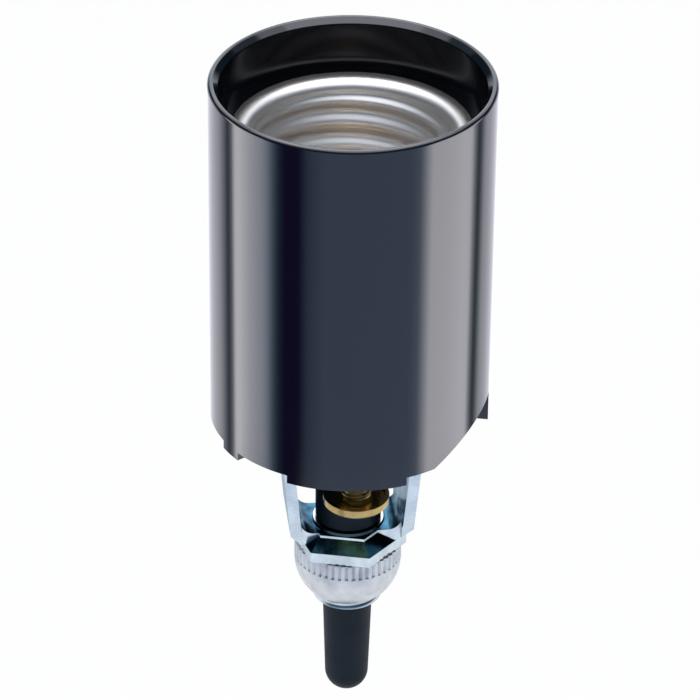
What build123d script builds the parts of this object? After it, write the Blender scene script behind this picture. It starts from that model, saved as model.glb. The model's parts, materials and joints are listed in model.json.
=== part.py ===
from build123d import *
import os
from math import asin, cos, degrees, radians, sin, sqrt, tan

os.makedirs("parts", exist_ok=True)

# Turn knob lamp socket. Millimetres, +Z along the lamp's axis, towards the lamp.
# The origin is the centre of the nipple's lower end. The bracket's legs stand at +X and -X,
# and the terminal screws at -Y (line, brass) and +Y (neutral, nickel).

# Clearances
running_gap = 0.06
loose_gap = 0.3
seat_gap = 0.02

# How far a cutting shape runs past what it cuts
cut_over = 1.0

# Lower stack: nipple, lock nut, hexagonal flange and bracket floor
nipple_radius = 4.76
nipple_bore_radius = 3.52
nipple_end_chamfer = 0.4
nipple_reach = 2.3
nut_height = 7.15
nut_gap = 0.1
flange_thick = 1.55
flange_turn = 45.0
peen_height = 0.3
peen_width = 0.3
peen_slope = 30.0

# Lock nut
knurl_radius = 7.45
knurl_height = 2.3
knurl_count = 48
knurl_depth = 0.28
nut_mouth_radius = 5.9
nut_mouth_chamfer = 0.45

# Bracket
strap_thick = 1.4
strap_width = 10.6
floor_thick = 1.85
leg_inset = 2.55
leg_clearance = 2.35
leg_overhang = 1.2
leg_inner_bend = 2.0
leg_outer_bend = 3.0
ear_land = 2.8
ear_bend = 0.4
ear_corner = 2.4
floor_lip = 0.35
floor_waist = 7.6
pad_slope = 50.0
pad_flare = 45.0

# Body
window_height = 18.05
collar_wall = 1.5
collar_clearance = 1.55
collar_depth = 7.65
rim_inner_edge = 0.45
rim_outer_edge = 0.45
partition_thick = 3.4
chamber_height = 7.4
chamber_wall = 4.85
skirt_wall = 2.1
boss_radius = 3.0

# Skirt edge: two long feet, two short ones and two ramped notches, each pair half a turn apart
foot_drop = 1.2
long_foot_angles = (-32.0, 17.5)
short_foot_angles = (-69.0, -58.0)
notch_angle = 75.0
notch_height = 4.4
notch_length = 13.35

# Switch base
recess_depth = 5.3
base_thick = 3.0
pedestal_width = 11.5
pedestal_inset = 1.6
pedestal_drop = 6.7

# Screw shell
shell_wall = 0.45
shell_thread_radius = 12.83
thread_pitch = 3.629
thread_half_depth = 0.42
thread_turns = 4
thread_foot = 6.13
thread_slope = 0.15
shell_lip_flare = 1.1
shell_lip_width = 1.425
insulator_thick = 0.5
rivet_edge = 0.2
shell_rivet_angles = (90, 210, 330)
leaf_window_width = 7.2
leaf_window_margin = 1.0
rivet_radius = 1.1
rivet_head_radius = 1.8
rivet_head_height = 0.6

# Terminals
terminal_inset = 3.1
terminal_screw_radius = 2.1
terminal_screw_length = 9.5
terminal_head_radius = 4.5
terminal_head_height = 1.5
terminal_back_out = 5.7
terminal_undercut = 0.35
terminal_hole_end = 1.0
terminal_slot_width = 0.9
terminal_slot_depth = 0.7
head_chamfer = 0.5
terminal_plate_thick = 0.8
terminal_plate_width = 7.6
strip_width = 4.0
strip_bend = 0.6
strip_inner_inset = 1.03
strip_jog = 0.8
load_strip_thick = 0.5
load_pad_length = 1.6
load_ramp_run = 1.0

# Centre contact
leaf_thick = 0.4
leaf_width = 5.0
leaf_foot = 3.8
leaf_rise = 3.4
leaf_lift = 0.45
leaf_crown_rise = 0.2
leaf_crown_reach = 0.8
leaf_tail_reach = 2.0
leaf_tail_drop = 0.4

# Knob and switch
knob_head_gap = 0.45
knob_head_chamfer = 0.35
knob_tip_radius = 3.05
knob_reach = 16.0
knob_socket_depth = 10.0
spindle_radius = 1.9
spindle_across_flats = 2.85
rotor_rim = 0.2
rotor_gap = 1.6
rotor_thick = 1.8
cam_radius = 5.0
cam_flat = 4.3
cam_height = 2.4
rotor_lift = 0.4
bridge_thick = 0.6
bridge_width = 5.0
contact_gap = 0.2
stake_radius = 0.6
clip_radius = 3.2
clip_thick = 0.5
detent_thick = 0.4
detent_height = 2.2
detent_end_gap = 2.0
detent_peg_radius = 1.6

# Assembly screws
assembly_inset = 1.2
assembly_screw_radius = 1.4
assembly_head_radius = 2.3
assembly_head_height = 1.5
assembly_slot_width = 0.9
assembly_slot_depth = 0.7
assembly_grip = 6.0

# Heights worked out from the stack, from the nipple's lower end upwards
nut_low = nipple_reach
nut_top = nut_low + nut_height - nut_gap
flange_low = nut_low + nut_height
floor_low = flange_low + flange_thick
floor_top = floor_low + floor_thick
body_low = floor_top + window_height
base_low = body_low + recess_depth
base_top = base_low + base_thick
chamber_top = base_top + chamber_height
shell_floor = chamber_top + partition_thick
insulator_top = shell_floor + insulator_thick
shell_floor_top = insulator_top + shell_wall
thread_low = shell_floor_top + thread_foot
thread_top = thread_low + thread_pitch * (thread_turns + 0.25)
ledge = thread_top + shell_lip_flare
body_top = ledge + collar_depth
pedestal_low = base_low - pedestal_drop
ear_low = base_low - strap_thick

# Radii worked out from the screw shell outwards
shell_mid_root = shell_thread_radius + thread_half_depth + shell_wall / 2
shell_mid_crest = shell_thread_radius - thread_half_depth + shell_wall / 2
shell_lip_radius = shell_mid_root + shell_lip_flare + shell_lip_width
lamp_bore_radius = shell_mid_root + shell_lip_flare + shell_wall / 4 + seat_gap
collar_inner = shell_lip_radius + collar_clearance
body_radius = collar_inner + collar_wall
chamber_radius = body_radius - chamber_wall
skirt_inner = body_radius - skirt_wall

# Places shared by several pieces
pedestal_length = 2 * (chamber_radius - pedestal_inset)
terminal_offset = pedestal_length / 2 - terminal_inset
assembly_offset = chamber_radius - assembly_inset
assembly_places = ((assembly_offset, 0), (-assembly_offset, 0))
terminal_places = ((0, terminal_offset), (0, -terminal_offset))
knob_head_radius = terminal_offset - terminal_head_radius - knob_head_gap
leg_inner_low = knob_head_radius + leg_clearance
leg_outer_low = leg_inner_low + strap_thick
leg_outer_top = assembly_offset - leg_inset
leg_inner_top = leg_outer_top - strap_thick
flange_across_flats = 2 * (leg_outer_low - leg_overhang)
plate_low = pedestal_low - terminal_plate_thick
rotor_low = base_top + rotor_lift
rotor_mid = rotor_low + cam_height
rotor_top = rotor_mid + rotor_thick
bridge_top = rotor_top + bridge_thick
contact_low = bridge_top + contact_gap
strip_inner_run = shell_thread_radius - strip_inner_inset
strip_outer_run = pedestal_length / 2 + loose_gap / 3 + terminal_plate_thick / 2
strip_slot = (strip_width + loose_gap, terminal_plate_thick + loose_gap)
rivet_circle = strip_inner_run - terminal_plate_thick / 2 - rivet_edge - rivet_head_radius
shell_floor_hole = rivet_circle - rivet_head_radius - rivet_edge
leaf_pivot = shell_floor_hole
contact_rivet_y = -(leaf_pivot + leaf_foot / 2)
shell_rivet_places = [
    (rivet_circle * cos(radians(angle)), rivet_circle * sin(radians(angle))) for angle in shell_rivet_angles
]
rivet_places = shell_rivet_places + [(0, contact_rivet_y)]
terminal_plate_inner = knob_head_radius + 3 * loose_gap
cam_clear = cam_radius + loose_gap
detent_arm = chamber_radius - cam_clear - detent_thick - detent_end_gap
rotor_radius = assembly_offset - boss_radius - rotor_gap
bridge_length = 2 * (rotor_radius - rotor_rim)
stake_places = ((0, bridge_length / 3), (0, -bridge_length / 3))
standing = (Align.CENTER, Align.CENTER, Align.MIN)


def annular_sector(inner, outer, first, last):
    """Flat ring sector between two angles, measured from -Y towards +X."""
    def at(radius, angle):
        return (radius * sin(radians(angle)), -radius * cos(radians(angle)))

    middle = (first + last) / 2
    with BuildLine() as outline:
        ThreePointArc(at(outer, first), at(outer, middle), at(outer, last))
        Line(at(outer, last), at(inner, last))
        ThreePointArc(at(inner, last), at(inner, middle), at(inner, first))
        Line(at(inner, first), at(outer, first))
    return outline.edges()


# Phenolic body: one revolved section, closed by the partition between lamp bore and switch chamber
with BuildPart() as phenolic_body:
    with BuildSketch(Plane.XZ):
        with BuildLine():
            Polyline(
                (0, shell_floor),
                (lamp_bore_radius, shell_floor),
                (lamp_bore_radius, ledge),
                (collar_inner, ledge),
                (collar_inner, body_top),
                (body_radius, body_top),
                (body_radius, body_low - foot_drop),
                (skirt_inner, body_low - foot_drop),
                (skirt_inner, base_top),
                (chamber_radius, base_top),
                (chamber_radius, chamber_top),
                (0, chamber_top),
                (0, shell_floor),
            )
        make_face()
    revolve(axis=Axis.Z)
    rim = phenolic_body.faces().filter_by(Plane.XY).sort_by(Axis.Z)[-1]
    chamfer(rim.inner_wires().edges(), length=rim_inner_edge)
    rim = phenolic_body.faces().filter_by(Plane.XY).sort_by(Axis.Z)[-1]
    chamfer(rim.outer_wire().edges(), length=rim_outer_edge)
    # The skirt stops at the nominal rim everywhere but at its feet
    with BuildSketch(Plane.XY.offset(body_low - foot_drop)):
        for turn in (0, 180):
            for first, last in (
                (long_foot_angles[1], short_foot_angles[0] + 180),
                (short_foot_angles[1] + 180, long_foot_angles[0] + 180),
            ):
                outer = body_radius + cut_over
                make_face(annular_sector(skirt_inner - cut_over, outer, first + turn, last + turn))
    extrude(amount=foot_drop, mode=Mode.SUBTRACT)
    # Ramped notches: an arc that climbs to a square end, cut from the side
    for turn in (0, 180):
        outward = Vector(sin(radians(notch_angle + turn)), -cos(radians(notch_angle + turn)), 0)
        along = Vector(-outward.Y, outward.X, 0)
        start = outward * (body_radius / 3)
        with BuildSketch(Plane(origin=(start.X, start.Y, body_low), x_dir=along, z_dir=outward)):
            with BuildLine():
                Polyline((0, notch_height), (0, 0), (-notch_length, 0))
                TangentArc((0, notch_height), (-notch_length, 0), tangent=(-1, 0))
            make_face()
        extrude(amount=body_radius, mode=Mode.SUBTRACT)
    # Screw bosses in the switch chamber
    with BuildSketch(Plane.XY.offset(base_top)):
        with Locations(*assembly_places):
            Circle(boss_radius)
    extrude(amount=chamber_height)
    with BuildSketch(Plane.XY.offset(base_top)):
        with Locations(*assembly_places):
            Circle(assembly_screw_radius + seat_gap)
    extrude(amount=assembly_grip + loose_gap, mode=Mode.SUBTRACT)
    # Holes through the partition for the rivets and the neutral strip
    with BuildSketch(Plane.XY.offset(chamber_top)):
        with Locations(*rivet_places):
            Circle(rivet_radius + seat_gap)
        with Locations((0, strip_inner_run)):
            Rectangle(*strip_slot)
    extrude(amount=partition_thick, mode=Mode.SUBTRACT)
phenolic_body.part.label = "phenolic_body"
export_step(phenolic_body.part, "parts/phenolic_body.step")


# Switch base: a disc on the chamber's ledge, with a pedestal below it that carries the terminals
with BuildPart() as switch_base:
    with BuildSketch(Plane.XY.offset(base_low)):
        Circle(skirt_inner - loose_gap / 2)
    extrude(amount=base_thick)
    with BuildSketch(Plane.XY.offset(pedestal_low)):
        SlotOverall(pedestal_length, pedestal_width, rotation=90)
    extrude(amount=pedestal_drop)
    # Peg that the detent spring bends round
    with BuildSketch(Plane.XY.offset(base_top)):
        with Locations((0, -detent_arm - cam_clear + detent_peg_radius)):
            Circle(detent_peg_radius)
    extrude(amount=detent_height)
    # Bearing of the spindle, and the slots and holes of what passes through
    with BuildSketch(Plane.XY.offset(pedestal_low)):
        Circle(spindle_radius + running_gap)
        with Locations((0, strip_outer_run), (0, -strip_outer_run)):
            Rectangle(*strip_slot)
        with Locations(*assembly_places):
            Circle(assembly_screw_radius + seat_gap)
    extrude(amount=pedestal_drop + base_thick, mode=Mode.SUBTRACT)
    with BuildSketch(Plane.XY.offset(pedestal_low)):
        with Locations(*terminal_places):
            Circle(terminal_screw_radius + running_gap)
    extrude(amount=pedestal_drop + base_thick - terminal_hole_end, mode=Mode.SUBTRACT)
switch_base.part.label = "switch_base"
export_step(switch_base.part, "parts/switch_base.step")


# Screw shell: rolled sheet, from its floor up through the thread's folds to the flared lip
leaf_window_length = leaf_foot + 2 * leaf_window_margin
fold_points = []
for turn in range(thread_turns):
    fold_low = thread_low + turn * thread_pitch
    fold_points += [
        (shell_mid_root, fold_low),
        (shell_mid_crest, fold_low + thread_slope * thread_pitch),
        (shell_mid_crest, fold_low + thread_pitch / 2),
        (shell_mid_root, fold_low + (0.5 + thread_slope) * thread_pitch),
    ]
with BuildPart() as screw_shell:
    with BuildSketch(Plane.XZ):
        with BuildLine():
            Polyline(
                (shell_floor_hole, insulator_top + shell_wall / 2),
                (shell_mid_root, insulator_top + shell_wall / 2),
                *fold_points,
                (shell_mid_root, thread_top + shell_wall / 2),
                (shell_mid_root + shell_lip_flare, ledge + shell_wall / 2),
                (shell_lip_radius, ledge + shell_wall / 2),
            )
        trace(line_width=shell_wall)
    revolve(axis=Axis.Z)
    # Window for the centre contact's foot, slot for the neutral strip, holes for the rivets
    with BuildSketch(Plane.XY.offset(insulator_top)):
        with Locations((0, contact_rivet_y)):
            Rectangle(leaf_window_width, leaf_window_length)
        with Locations((0, strip_inner_run)):
            Rectangle(*strip_slot)
        with Locations(*shell_rivet_places):
            Circle(rivet_radius + seat_gap)
    extrude(amount=shell_wall, mode=Mode.SUBTRACT)
screw_shell.part.label = "screw_shell"
export_step(screw_shell.part, "parts/screw_shell.step")


# Shell insulator: fibre disc between the shell's floor and the partition
with BuildPart() as shell_insulator:
    with BuildSketch(Plane.XY.offset(shell_floor)):
        Circle(shell_mid_root)
        with Locations(*rivet_places):
            Circle(rivet_radius + seat_gap, mode=Mode.SUBTRACT)
        with Locations((0, strip_inner_run)):
            Rectangle(*strip_slot, mode=Mode.SUBTRACT)
    extrude(amount=insulator_thick)
shell_insulator.part.label = "shell_insulator"
export_step(shell_insulator.part, "parts/shell_insulator.step")


# Centre contact: a leaf with a flat foot and an arm that rises to the lamp's tip
with BuildPart() as centre_contact:
    with BuildSketch(Plane.YZ):
        with BuildLine():
            Polyline(
                (-leaf_pivot - leaf_foot, insulator_top),
                (-leaf_pivot, insulator_top),
                (-leaf_thick, insulator_top + leaf_rise),
                (leaf_crown_reach, insulator_top + leaf_rise + leaf_crown_rise),
                (leaf_tail_reach, insulator_top + leaf_rise - leaf_tail_drop),
            )
            offset(amount=leaf_thick, side=Side.LEFT)
        make_face()
    extrude(amount=leaf_width / 2, both=True)
    with BuildSketch(Plane.XY.offset(insulator_top)):
        with Locations((0, contact_rivet_y)):
            Circle(rivet_radius + loose_gap)
    extrude(amount=2 * leaf_thick, mode=Mode.SUBTRACT)
centre_contact.part.label = "centre_contact"
export_step(centre_contact.part, "parts/centre_contact.step")


def rivet(place, low, high):
    """Shank between two flat seats, with a head against each."""
    with BuildPart() as shank:
        with Locations((*place, low - rivet_head_height)):
            Cylinder(rivet_head_radius, rivet_head_height, align=standing)
            Cylinder(rivet_radius, high - low + 2 * rivet_head_height, align=standing)
        with Locations((*place, high)):
            Cylinder(rivet_head_radius, rivet_head_height, align=standing)
    return shank.part


# Contact rivet: from the load contact below the partition to above the leaf's foot
with BuildPart() as contact_rivet:
    add(rivet((0, contact_rivet_y), chamber_top - load_strip_thick, insulator_top + leaf_thick + leaf_lift))
contact_rivet.part.label = "contact_rivet"
export_step(contact_rivet.part, "parts/contact_rivet.step")


# Shell rivets: three, the first of them through the neutral strip's end
with BuildPart() as shell_rivets:
    for number, place in enumerate(shell_rivet_places):
        stack = terminal_plate_thick if number == 0 else 0
        add(rivet(place, chamber_top, shell_floor_top + stack))
shell_rivets.part.label = "shell_rivets"
export_step(shell_rivets.part, "parts/shell_rivets.step")


def bent_strip(side, points, thick, width):
    """Sheet strip that follows points in the YZ plane, mirrored to -Y where side is -1."""
    route = [(side * y, z) for y, z in points]
    with BuildPart() as strip:
        with BuildSketch(Plane.YZ):
            with BuildLine():
                FilletPolyline(*route, radius=strip_bend)
            trace(line_width=thick)
        extrude(amount=width / 2, both=True)
    return strip.part


def terminal(side, upper_run):
    """Terminal plate under the pedestal, with its strip up through the switch base."""
    plate_mid = plate_low + terminal_plate_thick / 2
    start = [(terminal_plate_inner, plate_mid), (strip_outer_run, plate_mid)]
    tail = bent_strip(side, start + upper_run, terminal_plate_thick, strip_width)
    plate_length = strip_outer_run - strip_bend - terminal_plate_thick - terminal_plate_inner
    with BuildPart() as piece:
        add(tail)
        with BuildSketch(Plane.XY.offset(plate_low)):
            with Locations((0, side * (terminal_plate_inner + plate_length / 2))):
                RectangleRounded(terminal_plate_width, plate_length, terminal_plate_thick)
        extrude(amount=terminal_plate_thick)
        with BuildSketch(Plane.XY.offset(plate_low)):
            with Locations((0, side * terminal_offset)):
                Circle(terminal_screw_radius + running_gap)
        extrude(amount=terminal_plate_thick, mode=Mode.SUBTRACT)
        if side > 0:
            with BuildSketch(Plane.XY.offset(shell_floor_top)):
                with Locations(shell_rivet_places[0]):
                    Circle(rivet_radius + seat_gap)
            extrude(amount=terminal_plate_thick, mode=Mode.SUBTRACT)
    return piece.part


# Line terminal: from the brass screw up to the switch, over the path of the rotor's bridge
line_contact_mid = contact_low + terminal_plate_thick / 2
line_terminal = terminal(
    -1,
    [
        (strip_outer_run, line_contact_mid),
        (bridge_length / 2 - terminal_plate_thick, line_contact_mid),
    ],
)
line_terminal.label = "line_terminal"
export_step(line_terminal, "parts/line_terminal.step")


# Neutral terminal: from the nickel screw up through the partition to the shell's floor
neutral_end_mid = shell_floor_top + terminal_plate_thick / 2
neutral_terminal = terminal(
    1,
    [
        (strip_outer_run, line_contact_mid - strip_jog),
        (strip_inner_run, line_contact_mid + strip_jog),
        (strip_inner_run, neutral_end_mid),
        (shell_floor_hole, neutral_end_mid),
    ],
)
neutral_terminal.label = "neutral_terminal"
export_step(neutral_terminal, "parts/neutral_terminal.step")


# Load contact: from under the partition down to the other end of the rotor's bridge
load_mid = chamber_top - load_strip_thick / 2
load_tip_mid = contact_low + load_strip_thick / 2
load_tip = bridge_length / 2
with BuildPart() as load_contact:
    add(
        bent_strip(
            1,
            [
                (contact_rivet_y - rivet_head_radius, load_mid),
                (load_tip - load_pad_length - load_ramp_run, load_mid),
                (load_tip - load_pad_length, load_tip_mid),
                (load_tip, load_tip_mid),
            ],
            load_strip_thick,
            strip_width,
        )
    )
    with BuildSketch(Plane.XY.offset(chamber_top - load_strip_thick)):
        with Locations((0, contact_rivet_y)):
            Circle(rivet_radius + seat_gap)
    extrude(amount=load_strip_thick, mode=Mode.SUBTRACT)
load_contact.part.label = "load_contact"
export_step(load_contact.part, "parts/load_contact.step")


# Detent spring: a hairpin that lies on the base with an arm on each side of the cam
with BuildPart() as detent_spring:
    with BuildSketch(Plane.XY.offset(base_top)):
        with BuildLine():
            Line((cam_clear + detent_thick / 2, detent_arm), (cam_clear + detent_thick / 2, -detent_arm))
            RadiusArc(
                (cam_clear + detent_thick / 2, -detent_arm),
                (-cam_clear - detent_thick / 2, -detent_arm),
                cam_clear + detent_thick / 2,
            )
            Line((-cam_clear - detent_thick / 2, -detent_arm), (-cam_clear - detent_thick / 2, detent_arm))
        trace(line_width=detent_thick)
    extrude(amount=detent_height)
detent_spring.part.label = "detent_spring"
export_step(detent_spring.part, "parts/detent_spring.step")


def double_flat(gap):
    """Round with two flats, as on the ends of the spindle, wider by a gap all round."""
    with BuildSketch() as outline:
        Circle(spindle_radius + gap)
        Rectangle(2 * (spindle_radius + gap), spindle_across_flats + 2 * gap, mode=Mode.INTERSECT)
    return outline.sketch


# Switch spindle: round in its bearing, with flats in the knob and in the rotor
knob_head_top = pedestal_low - loose_gap
spindle_low = knob_head_top - knob_socket_depth + loose_gap
spindle_top = bridge_top + 2 * clip_thick
with BuildPart() as switch_spindle:
    with BuildSketch(Plane.XY.offset(spindle_low)):
        add(double_flat(0))
    extrude(amount=spindle_top - spindle_low)
    with BuildSketch(Plane.XY.offset(knob_head_top)):
        Circle(spindle_radius)
    extrude(amount=rotor_low - knob_head_top)
switch_spindle.part.label = "switch_spindle"
export_step(switch_spindle.part, "parts/switch_spindle.step")


# Switch rotor: four-lobed cam below, disc above, with two stakes through the bridge
with BuildPart() as switch_rotor:
    with BuildSketch(Plane.XY.offset(rotor_low)):
        Circle(cam_radius)
        Rectangle(2 * cam_flat, 2 * cam_flat, mode=Mode.INTERSECT)
    extrude(amount=cam_height)
    with BuildSketch(Plane.XY.offset(rotor_mid)):
        Circle(rotor_radius)
    extrude(amount=rotor_thick)
    with BuildSketch(Plane.XY.offset(rotor_top)):
        with Locations(*stake_places):
            Circle(stake_radius)
    extrude(amount=bridge_thick + contact_gap / 2)
    with BuildSketch(Plane.XY.offset(rotor_low)):
        add(double_flat(seat_gap))
    extrude(amount=cam_height + rotor_thick, mode=Mode.SUBTRACT)
switch_rotor.part.label = "switch_rotor"
export_step(switch_rotor.part, "parts/switch_rotor.step")


# Rotor contact: the bridge that closes the switch when it lies along Y
with BuildPart() as rotor_contact:
    with BuildSketch(Plane.XY.offset(rotor_top)):
        SlotOverall(bridge_length, bridge_width, rotation=90)
        add(double_flat(seat_gap), mode=Mode.SUBTRACT)
        with Locations(*stake_places):
            Circle(stake_radius + seat_gap, mode=Mode.SUBTRACT)
    extrude(amount=bridge_thick)
rotor_contact.part.label = "rotor_contact"
export_step(rotor_contact.part, "parts/rotor_contact.step")


# Spindle clip: open washer above the bridge
with BuildPart() as spindle_clip:
    with BuildSketch(Plane.XY.offset(bridge_top)):
        Circle(clip_radius)
        Circle(spindle_radius + seat_gap, mode=Mode.SUBTRACT)
        with Locations((clip_radius / 2, 0)):
            Rectangle(clip_radius, spindle_radius, align=(Align.MIN, Align.CENTER), mode=Mode.SUBTRACT)
    extrude(amount=clip_thick)
spindle_clip.part.label = "spindle_clip"
export_step(spindle_clip.part, "parts/spindle_clip.step")


# Turn knob: one moulding, turned round the axis, with a socket for the spindle
knob_rod_radius = nipple_bore_radius - running_gap
knob_head_low = floor_top + peen_height + loose_gap
with BuildPart() as turn_knob:
    with BuildSketch(Plane.XZ):
        with BuildLine():
            Polyline(
                (knob_tip_radius, knob_tip_radius - knob_reach),
                (knob_rod_radius, 0),
                (knob_rod_radius, knob_head_low),
                (knob_head_radius, knob_head_low),
                (knob_head_radius, knob_head_top),
                (0, knob_head_top),
                (0, -knob_reach),
            )
            CenterArc((0, knob_tip_radius - knob_reach), knob_tip_radius, -90, 90)
        make_face()
    revolve(axis=Axis.Z)
    chamfer(turn_knob.edges().filter_by(GeomType.CIRCLE).group_by(Axis.Z)[-1], length=knob_head_chamfer)
    with BuildSketch(Plane.XY.offset(knob_head_top)):
        add(double_flat(seat_gap))
    extrude(amount=-knob_socket_depth, mode=Mode.SUBTRACT)
turn_knob.part.label = "turn_knob"
export_step(turn_knob.part, "parts/turn_knob.step")


# Threaded nipple: tube with a hexagonal flange, riveted over the bracket's floor
with BuildPart() as threaded_nipple:
    with BuildSketch(Plane.XY):
        Circle(nipple_radius)
    extrude(amount=floor_top)
    with BuildSketch(Plane.XY.offset(flange_low)):
        RegularPolygon(flange_across_flats / 2, 6, major_radius=False, rotation=flange_turn)
    extrude(amount=flange_thick)
    with BuildSketch(Plane.XY.offset(floor_top)):
        Circle(nipple_radius + peen_width)
    extrude(amount=peen_height, taper=peen_slope)
    with BuildSketch(Plane.XY):
        Circle(nipple_bore_radius)
    extrude(amount=floor_top + peen_height, mode=Mode.SUBTRACT)
    nipple_end = threaded_nipple.edges().group_by(Axis.Z)[0].sort_by(SortBy.RADIUS)[-1]
    chamfer(nipple_end, length=nipple_end_chamfer)
threaded_nipple.part.label = "threaded_nipple"
export_step(threaded_nipple.part, "parts/threaded_nipple.step")


# Lock nut: knurled band above a round belly whose centre lies on the axis
knurl_low = nut_top - knurl_height
belly_height = knurl_low - nut_low
belly_centre = (knurl_low + nut_low) / 2 + (knurl_radius**2 - nut_mouth_radius**2) / (2 * belly_height)
belly_radius = sqrt(nut_mouth_radius**2 + (belly_centre - nut_low) ** 2)
belly_start = degrees(asin((nut_low - belly_centre) / belly_radius))
belly_end = degrees(asin((knurl_low - belly_centre) / belly_radius))
with BuildPart() as knurled_nut:
    with BuildSketch(Plane.XZ):
        with BuildLine():
            Polyline(
                (nut_mouth_radius, nut_low),
                (0, nut_low),
                (0, nut_top),
                (knurl_radius, nut_top),
                (knurl_radius, knurl_low),
            )
            CenterArc((0, belly_centre), belly_radius, belly_start, belly_end - belly_start)
        make_face()
    revolve(axis=Axis.Z)
    with BuildSketch(Plane.XY.offset(nut_top)):
        with PolarLocations(knurl_radius, knurl_count):
            Rectangle(knurl_depth * sqrt(2), knurl_depth * sqrt(2), rotation=45)
    extrude(amount=-knurl_height, mode=Mode.SUBTRACT)
    with BuildSketch(Plane.XY.offset(nut_low)):
        Circle(nipple_radius + running_gap)
    extrude(amount=nut_height, mode=Mode.SUBTRACT)
    mouth = knurled_nut.edges().filter_by(GeomType.CIRCLE).group_by(Axis.Z)[0].sort_by(SortBy.RADIUS)[0]
    chamfer(mouth, length=nut_mouth_chamfer)
knurled_nut.part.label = "knurled_nut"
export_step(knurled_nut.part, "parts/knurled_nut.step")


def flared_hexagon(low, height, flare):
    """Hexagon as wide as the flange at its lower end, that opens by an angle above it."""
    with BuildPart() as hexagon:
        with BuildSketch(Plane.XY.offset(low)):
            RegularPolygon(flange_across_flats / 2, 6, major_radius=False, rotation=flange_turn)
        extrude(amount=height, taper=-flare)
    return hexagon.part


def outside_hexagon(low, height, flare):
    """What a flared hexagon leaves of the round plate that it stands in."""
    with BuildPart() as rest:
        with BuildSketch(Plane.XY.offset(low)):
            Circle(2 * flange_across_flats)
        extrude(amount=height)
        add(flared_hexagon(low, height, flare), mode=Mode.SUBTRACT)
    return rest.part


# Bracket: one strap, bent up into two legs and out into two ears, waisted to a hexagonal pad at its floor
ear_end = assembly_offset + ear_land
leg_trim_height = floor_thick + leg_outer_bend
with BuildPart() as bracket:
    with BuildSketch(Plane.XZ):
        with BuildLine():
            FilletPolyline(
                (0, floor_top),
                (leg_inner_low, floor_top),
                (leg_inner_top, base_low),
                (ear_end, base_low),
                radius=(leg_inner_bend, strap_thick + ear_bend),
            )
            Line((ear_end, base_low), (ear_end, ear_low))
            FilletPolyline(
                (ear_end, ear_low),
                (leg_outer_top, ear_low),
                (leg_outer_low, floor_low),
                (0, floor_low),
                radius=(ear_bend, leg_outer_bend),
            )
            mirror(about=Plane.YZ)
        make_face()
    extrude(amount=strap_width / 2, both=True)
    ear_corners = bracket.edges().filter_by(Axis.Z).filter_by_position(Axis.Z, ear_low, base_low)
    fillet(ear_corners, radius=ear_corner)
    # The floor is waisted between the legs, and the legs' lower corners are trimmed towards the flange
    with BuildSketch(Plane.XY.offset(floor_low)):
        Rectangle(2 * leg_inner_low, 2 * strap_width)
        Rectangle(2 * leg_inner_low, floor_waist, mode=Mode.SUBTRACT)
    extrude(amount=floor_thick + leg_inner_bend, mode=Mode.SUBTRACT)
    add(outside_hexagon(floor_low, leg_trim_height, pad_flare), mode=Mode.SUBTRACT)
    # Hexagonal pad: sloped sides from the flange up to the floor's lip
    add(flared_hexagon(floor_low, floor_thick - floor_lip, -pad_slope))
    with BuildSketch(Plane.XY.offset(floor_top - floor_lip)):
        RegularPolygon(
            flange_across_flats / 2 - (floor_thick - floor_lip) * tan(radians(pad_slope)),
            6,
            major_radius=False,
            rotation=flange_turn,
        )
    extrude(amount=floor_lip)
    with BuildSketch(Plane.XY.offset(floor_low)):
        Circle(nipple_radius + seat_gap)
    extrude(amount=floor_thick, mode=Mode.SUBTRACT)
    with BuildSketch(Plane.XY.offset(ear_low)):
        with Locations(*assembly_places):
            Circle(assembly_screw_radius + seat_gap)
    extrude(amount=strap_thick, mode=Mode.SUBTRACT)
bracket.part.label = "bracket"
export_step(bracket.part, "parts/bracket.step")


# Assembly screws: up through the ears and the switch base into the body's bosses
with BuildPart() as assembly_screws:
    with BuildSketch(Plane.XY.offset(ear_low)):
        with Locations(*assembly_places):
            Circle(assembly_screw_radius)
    extrude(amount=strap_thick + base_thick + assembly_grip)
    with BuildSketch(Plane.XY.offset(ear_low)):
        with Locations(*assembly_places):
            Circle(assembly_head_radius)
    extrude(amount=-assembly_head_height)
    chamfer(assembly_screws.edges().group_by(Axis.Z)[0], length=head_chamfer)
    with BuildSketch(Plane.XY.offset(ear_low - assembly_head_height)):
        with Locations(*assembly_places):
            Rectangle(assembly_slot_width, 2 * assembly_head_radius)
    extrude(amount=assembly_slot_depth, mode=Mode.SUBTRACT)
assembly_screws.part.label = "assembly_screws"
export_step(assembly_screws.part, "parts/assembly_screws.step")


# Terminal screws: binding heads below, shanks up into the pedestal, backed out to take a wire
terminal_head_top = plate_low - terminal_back_out
for side, name in ((-1, "brass_terminal_screw"), (1, "nickel_terminal_screw")):
    with BuildPart() as terminal_screw:
        with BuildSketch(Plane.XY.offset(terminal_head_top)):
            Circle(terminal_head_radius)
        extrude(amount=-terminal_head_height)
        chamfer(terminal_screw.edges().group_by(Axis.Z)[0], length=head_chamfer)
        with BuildSketch(Plane.XY.offset(terminal_head_top - terminal_undercut)):
            Circle(terminal_head_radius - head_chamfer)
        extrude(amount=terminal_undercut, mode=Mode.SUBTRACT)
        with BuildSketch(Plane.XY.offset(terminal_head_top - terminal_undercut)):
            Circle(terminal_screw_radius)
        extrude(amount=terminal_screw_length + terminal_undercut)
        chamfer(terminal_screw.edges().group_by(Axis.Z)[-1], length=terminal_undercut)
        with BuildSketch(Plane.XY.offset(terminal_head_top - terminal_head_height)):
            Rectangle(2 * terminal_head_radius, terminal_slot_width)
        extrude(amount=terminal_slot_depth, mode=Mode.SUBTRACT)
    placed = terminal_screw.part.moved(Location((0, side * terminal_offset, 0)))
    placed.label = name
    export_step(placed, f"parts/{name}.step")
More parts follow.
